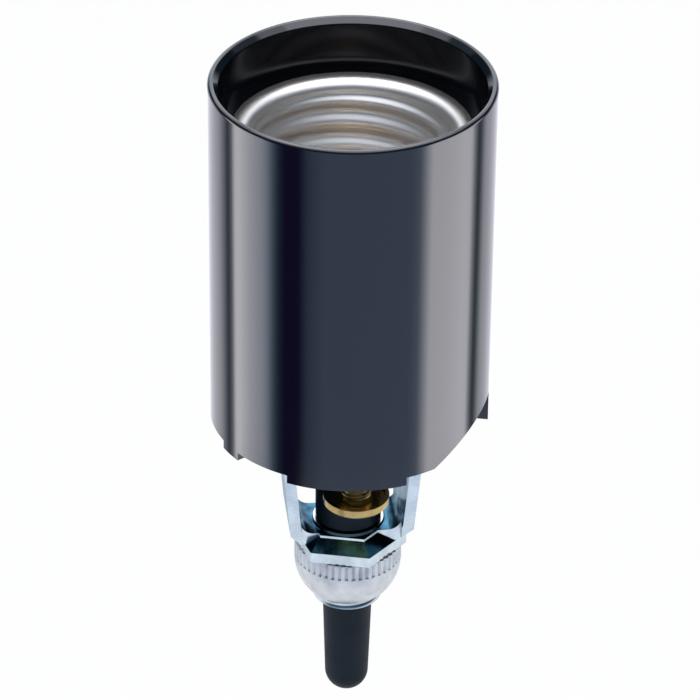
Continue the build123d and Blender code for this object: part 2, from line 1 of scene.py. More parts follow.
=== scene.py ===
import json
from math import cos, pi, radians, sin, tau

import bmesh
import bpy
from bpy.props import (
    FloatProperty,
    FloatVectorProperty,
    IntProperty,
    PointerProperty,
    StringProperty,
)
from mathutils import Matrix, Vector


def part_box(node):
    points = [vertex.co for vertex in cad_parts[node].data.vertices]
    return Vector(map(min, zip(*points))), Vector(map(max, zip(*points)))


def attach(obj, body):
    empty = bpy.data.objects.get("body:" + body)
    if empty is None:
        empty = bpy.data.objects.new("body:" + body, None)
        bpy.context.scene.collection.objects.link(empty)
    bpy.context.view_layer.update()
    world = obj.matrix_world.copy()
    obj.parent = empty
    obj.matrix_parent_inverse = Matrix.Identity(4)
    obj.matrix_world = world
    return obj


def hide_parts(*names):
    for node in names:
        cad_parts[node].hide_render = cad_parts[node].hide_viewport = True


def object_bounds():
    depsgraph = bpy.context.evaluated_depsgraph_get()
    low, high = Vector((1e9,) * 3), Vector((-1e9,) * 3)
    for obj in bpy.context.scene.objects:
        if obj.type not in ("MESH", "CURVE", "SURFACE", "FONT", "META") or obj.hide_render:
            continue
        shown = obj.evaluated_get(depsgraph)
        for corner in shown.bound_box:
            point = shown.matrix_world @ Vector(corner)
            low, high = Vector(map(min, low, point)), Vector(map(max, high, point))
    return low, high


bl_info = {
    "name": "Turn Knob Lamp Socket",
    "version": (1, 0, 0),
    "blender": (4, 5, 0),
    "location": "View3D > Sidebar > Lamp Socket",
    "description": "Finishes, rolled screw shell, rounded rim, fine threads and studio of a lamp socket",
    "category": "Object",
}

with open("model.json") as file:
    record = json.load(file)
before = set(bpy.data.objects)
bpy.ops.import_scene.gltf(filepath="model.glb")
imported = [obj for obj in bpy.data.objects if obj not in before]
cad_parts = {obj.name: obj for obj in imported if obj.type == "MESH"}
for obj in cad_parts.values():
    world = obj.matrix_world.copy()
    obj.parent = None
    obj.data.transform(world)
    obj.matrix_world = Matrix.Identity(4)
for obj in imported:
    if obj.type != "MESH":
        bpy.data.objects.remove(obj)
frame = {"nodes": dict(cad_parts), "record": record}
CAD_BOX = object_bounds()

MM = 0.001

# Sizes of the CAD's nodes, for the pieces that stand for them
SHELL_FLOOR_HOLE = 7.4 * MM
RIM_SLOPE_HEIGHT = 0.6 * MM
NIPPLE_RADIUS = 4.76 * MM
NIPPLE_CORE = 4.2 * MM
NIPPLE_CHAMFER = 0.41 * MM
SCREW_RADIUS = 2.1 * MM
SCREW_CORE = 1.6 * MM
SCREW_HEAD = 1.6 * MM
SCREW_CHAMFER = 0.3 * MM


def node_low(name):
    """Lowest height of a CAD node, in metres."""
    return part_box(name)[0][2]


def node_high(name):
    """Highest height of a CAD node, in metres."""
    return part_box(name)[1][2]


# Settings a user would change


class SOCKET_PG_shell(bpy.types.PropertyGroup):
    """Rolled aluminium screw shell."""

    pitch: FloatProperty(name="Thread Pitch", description="Height of one turn of the lamp thread",
                         default=3.629 * MM, unit="LENGTH", precision=4)
    mid_radius: FloatProperty(name="Inner Radius", description="Mean radius of the inner face",
                              default=12.83 * MM, unit="LENGTH", precision=4)
    half_depth: FloatProperty(name="Half Depth", description="Half the depth of the round thread",
                              default=0.42 * MM, unit="LENGTH", precision=5)
    wall: FloatProperty(name="Sheet", description="Thickness of the rolled sheet",
                        default=0.45 * MM, unit="LENGTH", precision=5)
    lip_round: FloatProperty(name="Lip Bend", description="Bend radius under the flared lip",
                             default=1.6 * MM, unit="LENGTH", precision=5)
    steps: IntProperty(name="Steps", description="Segments round the shell",
                       default=144, min=48, max=256)


class SOCKET_PG_body(bpy.types.PropertyGroup):
    """Moulded phenolic body."""

    outer_edge: FloatProperty(name="Outer Edge", description="Width of the rim's outer rounding",
                              default=0.3 * MM, unit="LENGTH", precision=5)
    inner_edge: FloatProperty(name="Inner Edge", description="Width of the rim's inner rounding",
                              default=0.8 * MM, unit="LENGTH", precision=5)
    rim_steps: IntProperty(name="Rim Steps", description="Segments in each rounding",
                           default=5, min=1, max=8)


class SOCKET_PG_threads(bpy.types.PropertyGroup):
    """Fine threads of the nipple and of the terminal screws."""

    nipple_pitch: FloatProperty(name="Nipple Pitch", description="27 threads per inch, as on lamp pipe",
                                default=25.4 / 27 * MM, unit="LENGTH", precision=5)
    nipple_depth: FloatProperty(name="Nipple Depth", description="Depth of the nipple's thread",
                                default=0.36 * MM, unit="LENGTH", precision=5)
    screw_pitch: FloatProperty(name="Screw Pitch", description="32 threads per inch, as on binding screws",
                               default=25.4 / 32 * MM, unit="LENGTH", precision=5)
    screw_depth: FloatProperty(name="Screw Depth", description="Depth of the terminal screws' thread",
                               default=0.4 * MM, unit="LENGTH", precision=5)
    rows: IntProperty(name="Rows", description="Rows of points in one turn",
                      default=8, min=4, max=16)


class SOCKET_PG_finishes(bpy.types.PropertyGroup):
    """Colours of the socket's finishes, as sRGB hex values."""

    phenolic: StringProperty(name="Phenolic", description="Black of the body", default="#08090d")
    knob: StringProperty(name="Knob", description="Black of the turn knob", default="#101a24")
    aluminium: StringProperty(name="Aluminium", description="Rolled shell", default="#918a84")
    zinc: StringProperty(name="Zinc", description="Blue bright zinc plating", default="#dfe6ea")
    # Dark teal painted on the bracket's inner and upward faces as their shade
    recess_shade: StringProperty(name="Painted Zinc Shade", description="Dark teal painted as shade inside the bracket",
                           default="#294858")
    satin: StringProperty(name="Satin Zinc", description="Lock nut", default="#e6e6e8")
    brass: StringProperty(name="Brass", description="Terminal screw", default="#dab878")
    nickel: StringProperty(name="Nickel", description="Neutral terminal", default="#cfccc4")
    fibre: StringProperty(name="Fibre", description="Fibre insulation", default="#5b2a20")
    spring: StringProperty(name="Spring Steel", description="Springs and clips", default="#8d9096")


class SOCKET_PG_studio(bpy.types.PropertyGroup):
    """Floor, light and camera."""

    floor_drop: FloatProperty(name="Floor Drop", description="Gap between the knob's tip and the floor",
                              default=0.28, unit="LENGTH")
    lens: FloatProperty(name="Lens", description="Focal length on a 36 mm sensor, in millimetres",
                        default=215.8)
    distance: FloatProperty(name="Distance", description="Camera to target",
                            default=0.568, unit="LENGTH")
    elevation: FloatProperty(name="Elevation", description="Camera's height angle",
                             default=radians(31.8), subtype="ANGLE")
    azimuth: FloatProperty(name="Azimuth", description="Camera's turn from the front",
                           default=radians(-6.5), subtype="ANGLE")
    roll: FloatProperty(name="Roll", description="Camera's roll",
                        default=radians(0.65), subtype="ANGLE")
    target: FloatVectorProperty(name="Target", description="Point that the camera looks at",
                                default=(0.0, 0.0, 0.04), size=3, unit="LENGTH", precision=4)


# Helpers


def linear(hex_colour):
    """Linear RGBA of an sRGB hex value."""
    parts = [int(hex_colour[i:i + 2], 16) / 255 for i in (1, 3, 5)]
    return [p / 12.92 if p <= 0.04045 else ((p + 0.055) / 1.055) ** 2.4 for p in parts] + [1.0]


def add_node(tree, kind, links=None, inputs=None, **settings):
    """Adds one shader node with its settings, input values and links."""
    node = tree.nodes.new(kind)
    for key, value in settings.items():
        setattr(node, key, value)
    for key, value in (inputs or {}).items():
        node.inputs[key].default_value = value
    for key, source in (links or {}).items():
        tree.links.new(source, node.inputs[key])
    return node


def new_material(name):
    """An empty node material with its output, ready for a shader."""
    material = bpy.data.materials.new(name)
    material.use_nodes = True
    material.node_tree.nodes.clear()
    return material


def finish_shader(material, shader, socket="BSDF"):
    """Joins a shader to the material's output."""
    tree = material.node_tree
    add_node(tree, "ShaderNodeOutputMaterial", links={"Surface": shader.outputs[socket]})
    return material


def coordinates(tree, scale=(1, 1, 1)):
    """Object coordinates, stretched by scale."""
    place = add_node(tree, "ShaderNodeTexCoord")
    return add_node(tree, "ShaderNodeMapping", links={"Vector": place.outputs["Object"]},
                    inputs={"Scale": scale}).outputs["Vector"]


def noise_between(tree, vector, scale, low, high, detail=3.0):
    """A noise value that runs between low and high."""
    noise = add_node(tree, "ShaderNodeTexNoise", links={"Vector": vector},
                     inputs={"Scale": scale, "Detail": detail})
    spread = add_node(tree, "ShaderNodeMapRange", links={"Value": noise.outputs["Fac"]},
                      inputs={"From Min": 0.3, "From Max": 0.7, "To Min": low, "To Max": high})
    return spread.outputs["Result"]


def bump(tree, height, distance, strength=1.0):
    """Surface relief of the given depth in metres."""
    return add_node(tree, "ShaderNodeBump", links={"Height": height},
                    inputs={"Distance": distance, "Strength": strength}).outputs["Normal"]


def tint_between(tree, factor, first, second):
    """Colour that runs from first to second with the factor."""
    mix = add_node(tree, "ShaderNodeMix", data_type="RGBA", links={"Factor": factor})
    mix.inputs["A"].default_value = linear(first)
    mix.inputs["B"].default_value = linear(second)
    return mix.outputs["Result"]


def shade(hex_colour, share):
    """The same hex colour with each channel scaled by share: darker below 1, paler above."""
    parts = [min(255, round(int(hex_colour[i:i + 2], 16) * share)) for i in (1, 3, 5)]
    return "#" + "".join(f"{part:02x}" for part in parts)


# Finishes


def moulded_phenolic(colour):
    """Compression-moulded phenolic resin: a hard mirror-like skin with faint flow marks in the black.
    The wall inside the collar is left duller by its mould core, and hardly mirrors the bright shell."""
    material = new_material("moulded_phenolic")
    tree = material.node_tree
    place = add_node(tree, "ShaderNodeTexCoord")
    where = add_node(tree, "ShaderNodeVectorMath", operation="MULTIPLY",
                     links={0: place.outputs["Object"], 1: place.outputs["Normal"]})
    parts = add_node(tree, "ShaderNodeSeparateXYZ", links={"Vector": where.outputs["Vector"]})
    outward = add_node(tree, "ShaderNodeMath", operation="ADD",
                       links={0: parts.outputs["X"], 1: parts.outputs["Y"]})
    # The product of place and normal is the radius where a wall faces straight inwards
    gloss = add_node(tree, "ShaderNodeMapRange", links={"Value": outward.outputs["Value"]},
                     inputs={"From Min": -16.8 * MM, "From Max": -15 * MM, "To Min": 0.16,
                             "To Max": 0.5})
    vector = coordinates(tree, (1, 1, 0.25))
    cloud = noise_between(tree, vector, 1 / (9 * MM), 0.0, 1.0)
    fine = noise_between(tree, coordinates(tree), 1 / (0.5 * MM), 0.0, 1.0)
    shader = add_node(
        tree, "ShaderNodeBsdfPrincipled",
        links={
            "Base Color": tint_between(tree, cloud, colour, shade(colour, 1.3)),
            "Roughness": noise_between(tree, vector, 1 / (6 * MM), 0.07, 0.11),
            "Normal": bump(tree, fine, 0.0008 * MM),
            "Specular IOR Level": gloss.outputs["Result"],
        },
        inputs={"IOR": 1.63},
    )
    return finish_shader(material, shader)


def satin_phenolic(colour):
    """Phenolic of the knob: the same resin rubbed dull by fingers, so that it mirrors almost nothing."""
    material = new_material("satin_phenolic")
    tree = material.node_tree
    fine = noise_between(tree, coordinates(tree), 1 / (0.25 * MM), 0.0, 1.0)
    broad = noise_between(tree, coordinates(tree), 1 / (4 * MM), 0.0, 1.0)
    shader = add_node(
        tree, "ShaderNodeBsdfPrincipled",
        links={
            "Base Color": tint_between(tree, broad, colour, shade(colour, 1.2)),
            "Roughness": noise_between(tree, coordinates(tree), 1 / (3 * MM), 0.5, 0.6),
            "Normal": bump(tree, fine, 0.006 * MM),
        },
        inputs={"IOR": 1.6, "Specular IOR Level": 0.15},
    )
    return finish_shader(material, shader)


def rolled_metal(name, colour, rough, line_depth):
    """Sheet rolled about the vertical axis: fine lines run round it and stretch each highlight."""
    material = new_material(name)
    tree = material.node_tree
    # Tool lines 0.12 mm apart, drawn about three times as coarse as real ones so that they show
    lines = noise_between(tree, coordinates(tree, (0.02, 0.02, 1)), 1 / (0.12 * MM), 0.0, 1.0,
                          detail=2.0)
    streak = noise_between(tree, coordinates(tree, (0.03, 0.03, 1)), 1 / (0.35 * MM), 0.0, 1.0)
    shader = add_node(
        tree, "ShaderNodeBsdfPrincipled",
        links={
            "Base Color": tint_between(tree, streak, colour, shade(colour, 0.82)),
            "Roughness": noise_between(tree, coordinates(tree, (0.05, 0.05, 1)), 1 / (0.3 * MM),
                                       rough * 0.85, rough * 1.15),
            "Normal": bump(tree, lines, line_depth),
        },
        inputs={"Metallic": 1.0},
    )
    return finish_shader(material, shader)


def plated_metal(name, colour, clouding, rough, grain, depth):
    """Electroplated or turned metal: bright, a little clouded, over the blank's fine grain."""
    material = new_material(name)
    tree = material.node_tree
    cloud = noise_between(tree, coordinates(tree), 1 / (2.5 * MM), 0.0, 1.0)
    relief = noise_between(tree, coordinates(tree), 1 / grain, 0.0, 1.0)
    shader = add_node(
        tree, "ShaderNodeBsdfPrincipled",
        links={
            "Base Color": tint_between(tree, cloud, colour, shade(colour, clouding)),
            "Roughness": noise_between(tree, coordinates(tree), 1 / (1.2 * MM),
                                       rough * 0.75, rough * 1.25),
            "Normal": bump(tree, relief, depth),
        },
        inputs={"Metallic": 1.0},
    )
    return finish_shader(material, shader)


def zinc_with_painted_recess_shade(colour, recess_shade):
    """Blue bright zinc plate, pale on the outside of the bent strap, with painted shade: a dark, clouded
    teal on the faces that look inwards and upwards, standing in for the shade and dark reflections inside
    the bracket."""
    material = new_material("blue_zinc_with_painted_shade")
    tree = material.node_tree
    place = add_node(tree, "ShaderNodeTexCoord")
    where = add_node(tree, "ShaderNodeSeparateXYZ", links={"Vector": place.outputs["Object"]})
    facing = add_node(tree, "ShaderNodeSeparateXYZ", links={"Vector": place.outputs["Normal"]})
    outward = add_node(tree, "ShaderNodeMath", operation="MULTIPLY",
                       links={0: where.outputs["X"], 1: facing.outputs["X"]})
    inward = add_node(tree, "ShaderNodeMapRange", links={"Value": outward.outputs["Value"]},
                      inputs={"From Min": -0.8 * MM, "From Max": -3.5 * MM})
    upward = add_node(tree, "ShaderNodeMapRange", links={"Value": facing.outputs["Z"]},
                      inputs={"From Min": 0.3, "From Max": 0.6})
    # Painted shade: faces that look inwards or upwards get the dark teal, as shade inside the bracket
    painted_shade_mask = add_node(tree, "ShaderNodeMath", operation="MAXIMUM",
                      links={0: inward.outputs["Result"], 1: upward.outputs["Result"]})
    cloud = noise_between(tree, coordinates(tree), 1 / (2.5 * MM), 0.0, 1.0)
    shade_mottle = noise_between(tree, coordinates(tree, (1, 1, 0.5)), 1 / (1.6 * MM), 0.0, 1.0)
    relief = noise_between(tree, coordinates(tree), 1 / (0.35 * MM), 0.0, 1.0)
    # Bright zinc outside, and the painted shade in mottled dark teal inside
    mix = add_node(tree, "ShaderNodeMixRGB", links={
        "Fac": painted_shade_mask.outputs["Value"],
        "Color1": tint_between(tree, cloud, colour, shade(colour, 0.9)),
        "Color2": tint_between(tree, shade_mottle, recess_shade, shade(recess_shade, 1.8))})
    shader = add_node(
        tree, "ShaderNodeBsdfPrincipled",
        links={
            "Base Color": mix.outputs["Color"],
            "Roughness": noise_between(tree, coordinates(tree), 1 / (1.2 * MM), 0.12, 0.22),
            "Normal": bump(tree, relief, 0.004 * MM),
        },
        inputs={"Metallic": 1.0},
    )
    return finish_shader(material, shader)


def vulcanised_fibre(colour):
    """Vulcanised fibre: pressed paper, matte, with a felted grain."""
    material = new_material("vulcanised_fibre")
    tree = material.node_tree
    felt = noise_between(tree, coordinates(tree, (1, 1, 4)), 1 / (0.3 * MM), 0.0, 1.0, detail=5.0)
    shader = add_node(
        tree, "ShaderNodeBsdfPrincipled",
        links={
            "Base Color": tint_between(tree, felt, colour, shade(colour, 1.35)),
            "Roughness": noise_between(tree, coordinates(tree), 1 / (1 * MM), 0.7, 0.85),
            "Normal": bump(tree, felt, 0.02 * MM),
        },
    )
    return finish_shader(material, shader)


def dress(obj, material):
    """Gives an object one finish, in place of what it has."""
    obj.data.materials.clear()
    obj.data.materials.append(material)


def copy_node(name):
    """A bmesh of a CAD node with its loose triangles joined and its flat faces made whole."""
    mesh = bmesh.new()
    mesh.from_mesh(frame["nodes"][name].data)
    bmesh.ops.remove_doubles(mesh, verts=mesh.verts, dist=0.002 * MM)
    bmesh.ops.dissolve_limit(mesh, angle_limit=radians(0.5), verts=mesh.verts, edges=mesh.edges,
                             use_dissolve_boundaries=False, delimit=set())
    return mesh


def node_body(node):
    """Body that a CAD node moves with."""
    bodies = frame["record"]["behaviour"]["bodies"]
    return next(body for body, nodes in bodies.items() if node in nodes)


def finished_piece(mesh, name, material, node, smooth=radians(30)):
    """Turns a bmesh into the piece that stands for a CAD node."""
    for face in mesh.faces:
        face.smooth = True
    for edge in mesh.edges:
        edge.smooth = edge.calc_face_angle(0.0) < smooth
    data = bpy.data.meshes.new(name)
    mesh.to_mesh(data)
    mesh.free()
    piece = bpy.data.objects.new(name, data)
    bpy.context.scene.collection.objects.link(piece)
    normals = piece.modifiers.new("flat_faces_stay_flat", "WEIGHTED_NORMAL")
    normals.keep_sharp = True
    dress(piece, bpy.data.materials[material])
    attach(piece, node_body(node))
    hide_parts(node)
    return piece


def cut_thread(mesh, centre, core, crest, low, high, pitch, depth, rows, start=0.0):
    """Cuts a helical thread into the cylinder of radius crest that stands at centre, between the heights
    low and high. The angle start turns its grooves."""
    step = pitch / rows
    for k in range(1, int((high - low) / step)):
        inside = [vert for vert in mesh.verts
                  if (vert.co.xy - centre).length < crest * 1.02 and low - step < vert.co.z < high + step]
        faces = {face for vert in inside for face in vert.link_faces}
        edges = {edge for face in faces for edge in face.edges}
        verts = {vert for face in faces for vert in face.verts}
        bmesh.ops.bisect_plane(mesh, geom=[*faces, *edges, *verts], dist=0.0001 * MM,
                               plane_co=(0, 0, low + k * step), plane_no=(0, 0, 1))
    for vert in mesh.verts:
        out = vert.co.xy - centre
        if not core < out.length < crest * 1.005 or not low < vert.co.z < high:
            continue
        fade = min(1.0, (vert.co.z - low) / pitch, (high - vert.co.z) / pitch)
        wave = 0.5 - 0.5 * cos(tau * vert.co.z / pitch - out.angle_signed(Vector((1, 0))) + start)
        vert.co.xy -= out.normalized() * depth * wave * fade


# Operators


class SOCKET_OT_finishes(bpy.types.Operator):
    """Give every CAD piece its finish."""

    bl_idname = "lamp_socket.finishes"
    bl_label = "Finishes"

    def execute(self, context):
        tones = context.scene.socket_finishes
        finishes = {
            "black_phenolic": moulded_phenolic(tones.phenolic),
            "knob_phenolic": satin_phenolic(tones.knob),
            "rolled_aluminium": rolled_metal("rolled_aluminium", tones.aluminium, 0.48, 0.012 * MM),
            "zinc_plated_steel": plated_metal("blue_zinc_plate", tones.zinc, 0.9, 0.16,
                                              0.35 * MM, 0.004 * MM),
            # The bracket's zinc carries painted shade on its inner and upward faces
            "bent_strap": zinc_with_painted_recess_shade(tones.zinc, tones.recess_shade),
            "satin_zinc": plated_metal("satin_zinc_plate", tones.satin, 0.9, 0.36,
                                       0.22 * MM, 0.012 * MM),
            "yellow_brass": plated_metal("turned_brass", tones.brass, 0.86, 0.2,
                                         0.2 * MM, 0.004 * MM),
            "bright_nickel": plated_metal("bright_nickel_plate", tones.nickel, 0.92, 0.14,
                                          0.3 * MM, 0.003 * MM),
            "spring_steel": plated_metal("spring_steel", tones.spring, 0.85, 0.3,
                                         0.2 * MM, 0.004 * MM),
            "red_fibre": vulcanised_fibre(tones.fibre),
        }
        for row in frame["record"]["subparts"]:
            name = row["node"]
            finish = {"turn_knob": "knob_phenolic", "bracket": "bent_strap"}.get(name, row["material_slot"])
            dress(frame["nodes"][name], finishes[finish])
        return {"FINISHED"}


class SOCKET_OT_screw_shell(bpy.types.Operator):
    """Roll the screw shell: a lathed sheet whose wall follows the lamp thread."""

    bl_idname = "lamp_socket.screw_shell"
    bl_label = "Screw Shell"

    def execute(self, context):
        shell = context.scene.socket_shell
        low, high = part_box("screw_shell")
        floor = low[2] + shell.wall
        lip = high[2]
        lip_radius = high[0]
        corner = shell.mid_radius + shell.half_depth
        wall_low = floor + 0.5 * MM
        bend_low = lip - shell.lip_round
        # Inner face of the sheet, from the floor's hole to the lip's edge
        outline = [(SHELL_FLOOR_HOLE, floor), (corner - 0.5 * MM, floor), (corner, wall_low)]
        rise = bend_low - wall_low
        rows = round(rise / (0.16 * MM))
        outline += [(corner, wall_low + rise * k / rows) for k in range(1, rows + 1)]
        bend_steps = 8
        for k in range(1, bend_steps + 1):
            turn = pi / 2 * k / bend_steps
            outline.append((corner + shell.lip_round * (1 - cos(turn)),
                            bend_low + shell.lip_round * sin(turn)))
        outline.append((lip_radius, lip))
        mesh = bmesh.new()
        line = [mesh.verts.new((r, 0, z)) for r, z in outline]
        for first, second in zip(line, line[1:]):
            mesh.edges.new((first, second))
        bmesh.ops.spin(mesh, geom=mesh.verts[:] + mesh.edges[:], cent=(0, 0, 0), axis=(0, 0, 1),
                       dvec=(0, 0, 0), angle=tau, steps=shell.steps, use_merge=True, use_duplicate=False)
        bmesh.ops.remove_doubles(mesh, verts=mesh.verts, dist=0.001 * MM)
        # The thread: each point of the wall moves in by the wave at its height and angle
        fade = 1.6 * MM
        for vert in mesh.verts:
            radius = vert.co.xy.length
            if radius < corner - 0.1 * MM or vert.co.z > bend_low:
                continue
            above = min(1.0, max(0.0, (vert.co.z - wall_low) / fade))
            below = min(1.0, max(0.0, (bend_low - vert.co.z) / fade))
            share = above * below
            share = share * share * (3 - 2 * share)
            angle = vert.co.xy.angle_signed(Vector((1, 0)))
            wave = 0.5 - 0.5 * cos(tau * vert.co.z / shell.pitch - angle)
            vert.co.xy *= (radius - 2 * shell.half_depth * wave * share) / radius
        bmesh.ops.recalc_face_normals(mesh, faces=mesh.faces)
        bmesh.ops.solidify(mesh, geom=mesh.faces[:], thickness=shell.wall)
        data = bpy.data.meshes.new("rolled_screw_shell")
        mesh.to_mesh(data)
        mesh.free()
        data.shade_smooth()
        piece = bpy.data.objects.new("rolled_screw_shell", data)
        context.scene.collection.objects.link(piece)
        dress(piece, bpy.data.materials["rolled_aluminium"])
        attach(piece, "socket")
        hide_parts("screw_shell")
        return {"FINISHED"}


class SOCKET_OT_body(bpy.types.Operator):
    """Round the rim of the moulded body."""

    bl_idname = "lamp_socket.body"
    bl_label = "Body"

    def execute(self, context):
        body = context.scene.socket_body
        top = node_high("phenolic_body")
        mesh = copy_node("phenolic_body")
        # The CAD's equal slopes become a narrow outer and a broad inner one, which are then rounded
        crown = [vert for vert in mesh.verts if vert.co.z > top - RIM_SLOPE_HEIGHT]
        outside = max(vert.co.xy.length for vert in crown)
        inside = min(vert.co.xy.length for vert in crown)
        rings = []
        for corner, slope in ((outside, body.outer_edge), (inside, body.inner_edge)):
            side = [vert for vert in crown
                    if abs(vert.co.xy.length - corner) < (outside - inside) / 2]
            for vert in side:
                if top - vert.co.z < 0.05 * MM:
                    radius = corner - slope if corner == outside else corner + slope
                    vert.co.xy *= radius / vert.co.xy.length
                else:
                    vert.co.z = top - slope
            ring = {edge for vert in side for edge in vert.link_edges
                    if all(end in side for end in edge.verts)
                    and abs(edge.verts[0].co.z - edge.verts[1].co.z) < 0.01 * MM}
            rings.append((list(ring), slope * 0.68))
        for ring, rounding in rings:
            bmesh.ops.bevel(mesh, geom=ring, offset=rounding, offset_type="OFFSET", affect="EDGES",
                            segments=body.rim_steps, profile=0.5, material=-1, clamp_overlap=True)
        finished_piece(mesh, "moulded_body", "moulded_phenolic", "phenolic_body")
        return {"FINISHED"}


class SOCKET_OT_threads(bpy.types.Operator):
    """Cut the fine threads of the nipple and of the two terminal screws."""

    bl_idname = "lamp_socket.threads"
    bl_label = "Threads"

    def execute(self, context):
        threads = context.scene.socket_threads
        mesh = copy_node("threaded_nipple")
        # The thread runs from the nipple's chamfer to just inside the nut
        cut_thread(mesh, Vector((0, 0)), NIPPLE_CORE, NIPPLE_RADIUS,
                   node_low("threaded_nipple") + NIPPLE_CHAMFER, node_low("knurled_nut") + 0.3 * MM,
                   threads.nipple_pitch, threads.nipple_depth, threads.rows, start=1.87)
        finished_piece(mesh, "threaded_lamp_nipple", "blue_zinc_plate", "threaded_nipple")
        for name, material in (
            ("brass_terminal_screw", "turned_brass"),
            ("nickel_terminal_screw", "bright_nickel_plate"),
        ):
            first, last = (Vector(corner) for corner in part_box(name))
            middle = (first.xy + last.xy) / 2
            mesh = copy_node(name)
            cut_thread(mesh, middle, SCREW_CORE, SCREW_RADIUS, first.z + SCREW_HEAD,
                       last.z - SCREW_CHAMFER, threads.screw_pitch, threads.screw_depth, threads.rows)
            finished_piece(mesh, name.replace("terminal", "binding"), material, name)
        return {"FINISHED"}


# Light that the glossy pieces mirror: angle round the socket from the front in degrees, colour, strength.
# The black body mirrors little, so its low band has strong strips, and the bright metal's is calm.
MIRRORED_BANDS = {
    "foot": (
        (-180, "#9fb4c4", 0.9),
        (-150, "#c8d6e2", 1.0),
        (-110, "#dfe8f0", 1.0),
        (-66, "#dfe8f0", 1.0),
        (-60, "#2a3a4c", 0.6),
        (-46, "#2a3a4c", 0.6),
        (-38, "#dde7ed", 1.3),
        (56, "#dde7ed", 1.3),
        (110, "#dfe8f0", 1.2),
        (150, "#c8d6e2", 1.0),
        (180, "#9fb4c4", 0.9),
    ),
    "middle": (
        (-180, "#f2f4ff", 1.7),
        (-148, "#f0f0fc", 1.5),
        (-129, "#e8eaf6", 1.55),
        (-121, "#dfe4f4", 0.95),
        (-115, "#90a4bc", 0.4),
        (-109, "#d8dcec", 1.1),
        (-104, "#f2f2f6", 4.2),
        (-99, "#f2f4fa", 4.5),
        (-87, "#eeecf8", 3.9),
        (-75, "#dfe4f6", 3.5),
        (-69, "#d0dcf2", 2.6),
        (-64, "#a8c0de", 1.3),
        (-59, "#5c7ca8", 0.8),
        (-54, "#2c0f60", 1.0),
        (-41, "#2c1468", 1.0),
        (-33, "#9cb4e0", 0.9),
        (-20, "#bcd4ff", 1.0),
        (48, "#bcd4ff", 1.0),
        (55, "#c4d8f4", 1.4),
        (60, "#e0e4f2", 3.2),
        (66, "#eeeef6", 5.0),
        (98, "#eeeef6", 4.3),
        (107, "#eeeef6", 3.6),
        (112, "#c8d0dc", 1.6),
        (117, "#90a4b4", 0.4),
        (122, "#a8b4c4", 0.7),
        (129, "#e6e8f4", 1.45),
        (147, "#ececf8", 1.4),
        (180, "#f2f4ff", 1.7),
    ),
    "calm": (
        (-180, "#e6ecf2", 1.0),
        (-60, "#e6ecf2", 1.0),
        (-33, "#9cb4e0", 0.9),
        (-20, "#bcd4ff", 1.0),
        (48, "#bcd4ff", 1.0),
        (66, "#e6ecf2", 1.0),
        (180, "#e6ecf2", 1.0),
    ),
    "side": (
        (-180, "#e6ecf2", 1.0),
        (-120, "#f2f4f8", 1.1),
        (-95, "#f2f4f8", 1.15),
        (-60, "#7890a4", 0.7),
        (0, "#8ea2b4", 0.7),
        (60, "#7890a4", 0.7),
        (95, "#f2f4f8", 1.15),
        (120, "#f2f4f8", 1.1),
        (180, "#e6ecf2", 1.0),
    ),
    "upper": (
        (-180, "#e2eaf6", 2.2),
        (-160, "#e2eaf6", 2.0),
        (-145, "#3b5a68", 0.6),
        (-60, "#3b5a68", 0.6),
        (0, "#5c7484", 0.6),
        (60, "#3b5a68", 0.6),
        (145, "#3b5a68", 0.6),
        (160, "#e2eaf6", 2.0),
        (180, "#e2eaf6", 2.2),
    ),
    "top": (
        (-180, "#e8eef6", 2.6),
        (-150, "#e8eef6", 2.4),
        (-120, "#7e90a0", 1.0),
        (0, "#7e90a0", 0.9),
        (120, "#7e90a0", 1.0),
        (150, "#e8eef6", 2.4),
        (180, "#e8eef6", 2.6),
    ),
    "crown": (
        (-180, "#f0f4ff", 1.7),
        (0, "#f0f4ff", 1.7),
        (180, "#f0f4ff", 1.7),
    ),
}


# Heights between which each band of a tent fades into the one above it
TENT_FADES = ((-0.25, -0.24), (-0.145, -0.115), (0.04, 0.1), (0.288, 0.308), (0.43, 0.46))
TENT_TOP = 0.62


def band_colour(tree, factor, bands, brightest):
    """Colour of the light tent by the angle round it, as a share of the brightest band."""
    ramp = add_node(tree, "ShaderNodeValToRGB", links={"Fac": factor})
    stops = ramp.color_ramp.elements
    for angle, colour, strength in bands:
        if angle == -180:
            stop = stops[0]
        elif angle == 180:
            stop = stops[-1]
        else:
            stop = stops.new(angle / 360 + 0.5)
        stop.color = [value * strength / brightest for value in linear(colour)[:3]] + [1.0]
    return ramp.outputs["Color"]


